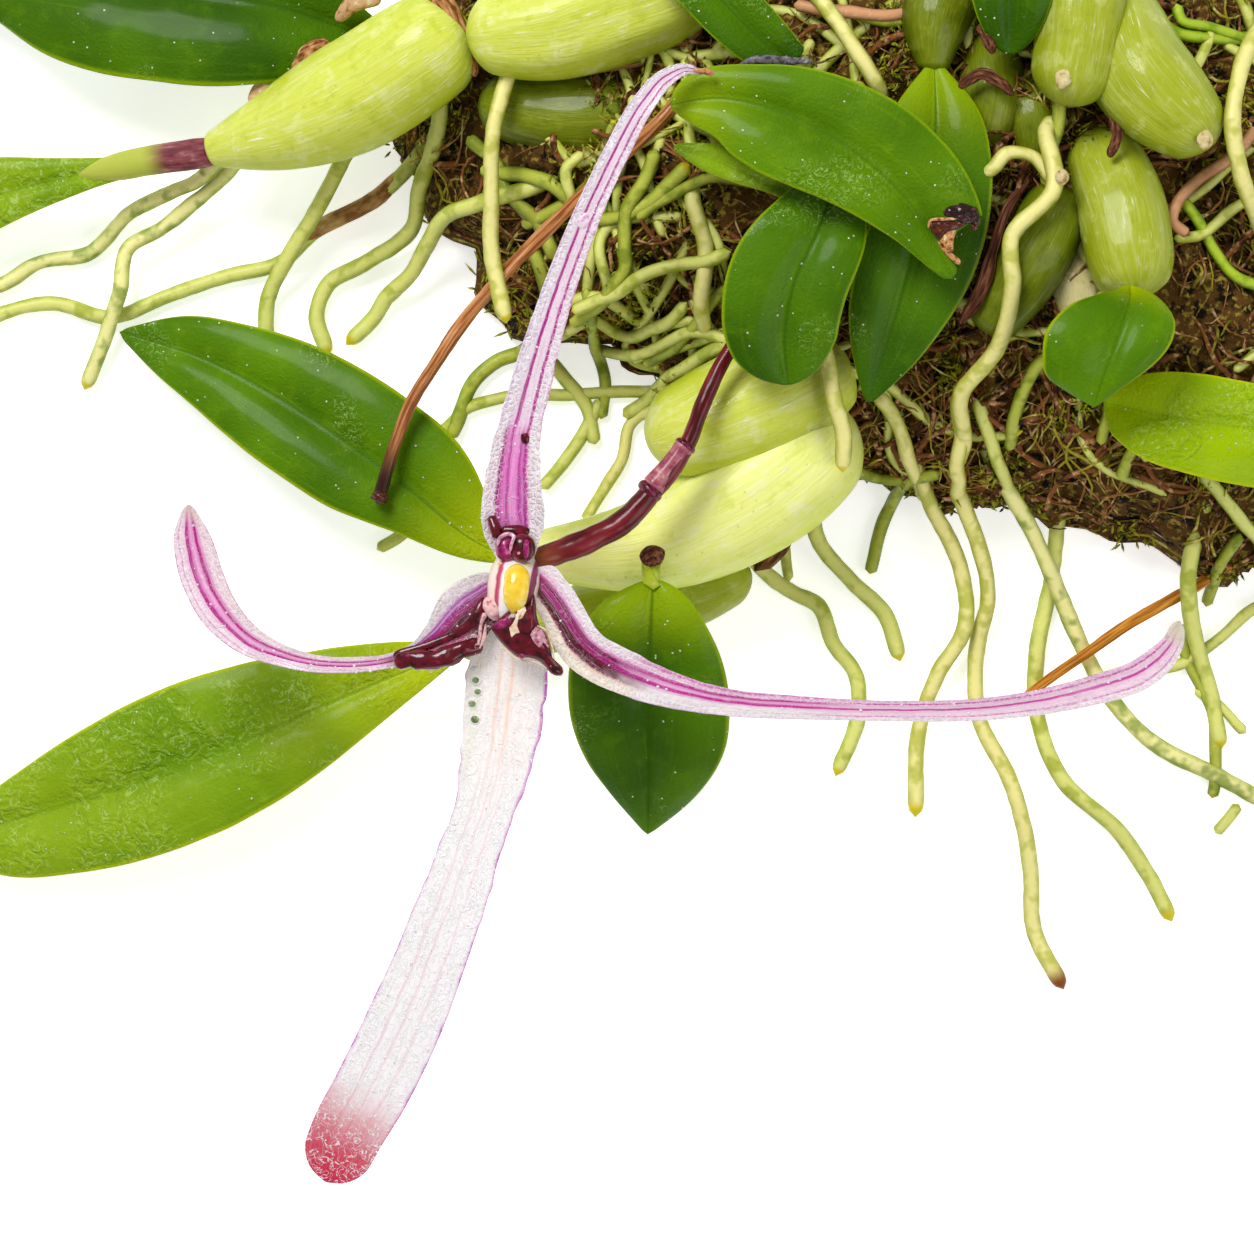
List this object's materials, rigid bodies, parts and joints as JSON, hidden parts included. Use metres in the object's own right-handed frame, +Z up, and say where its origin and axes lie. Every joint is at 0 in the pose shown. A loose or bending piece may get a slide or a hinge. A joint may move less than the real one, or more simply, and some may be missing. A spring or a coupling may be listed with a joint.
{
  "type": "bulbophyllum orchid",
  "caption": "Flowering orchid plant with ribbon-like tepals, ribbed pseudobulbs, glossy leaves and trailing aerial roots growing from a flat-bottomed mossy root mass.",
  "frame": {"origin": "centre of the root mass on its flat underside, which rests on a level surface", "axes": "+Z up from the surface, the way the flower faces; +Y from the flower's broad lower sepal towards its top; +X from the flower towards the root mass"},
  "size_m": [0.2363, 0.2076, 0.0498],
  "materials": {
    "anther": "waxy cap, golden yellow",
    "bulb": "firm waxy flesh, yellow-green with pale lengthwise streaks",
    "column": "waxy flesh, cream flushed pink",
    "dry_stem": "dried stalk, reddish brown",
    "fibre": "matted fern fibre with moss, dark brown and olive",
    "leaf": "glossy leathery leaf, deep green with a paler midrib and margin",
    "lip": "glossy flesh, very dark maroon",
    "petal": "soft glistening petal, pale with magenta veins",
    "purple_stem": "smooth glossy stalk, dark purple",
    "rhizome": "brown papery sheaths round a woody rhizome",
    "root": "matt corky skin, cream green with greener patches",
    "sepal": "soft glistening sepal, white with faint pink veins",
    "young_leaf": "glossy leathery leaf, bright yellow-green"
  },
  "bodies": {
    "root": {"anther_cap": "anther", "centre_leaf": "leaf", "column": "column", "crossing_root": "root", "crown_bulb": "bulb", "crown_root": "root", "dark_bulb": "bulb", "dark_leaf": "leaf", "dorsal_sepal": "petal", "edge_root": "root", "far_left_leaf": "young_leaf", "far_left_root": "root", "flower_knob": "lip", "flower_stalk": "purple_stem", "fork_root": "root", "front_bulb": "bulb", "front_long_root": "root", "front_short_root": "root", "heart_bulb": "bulb", "heart_leaf": "leaf", "hidden_bulb": "bulb", "leaf_root": "root", "left_bulb": "bulb", "left_hook_root": "root", "left_leaf": "leaf", "left_petal": "petal", "left_short_root": "root", "lip": "lip", "long_left_root": "root", "longest_root": "root", "lower_bulb": "bulb", "lower_left_leaf": "young_leaf", "lower_rhizome": "rhizome", "lower_root": "root", "lower_sepal": "sepal", "middle_root": "root", "old_flower_stem": "dry_stem", "orange_stem": "dry_stem", "rear_root": "root", "right_bulb": "bulb", "right_front_root": "root", "right_leaf": "young_leaf", "right_petal": "petal", "root_bulb": "bulb", "root_mass": "fibre", "round_leaf": "leaf", "scar_bulb": "bulb", "shaded_bulb": "bulb", "slant_root": "root", "stalk_bulb": "bulb", "top_bulb": "bulb", "top_left_leaf": "leaf", "top_right_leaf": "leaf", "torn_leaf": "leaf", "under_leaf": "leaf", "upper_bulb": "bulb", "upper_leaf": "leaf", "upper_rhizome": "rhizome", "wavy_root": "root"}
  },
  "joints": []
}
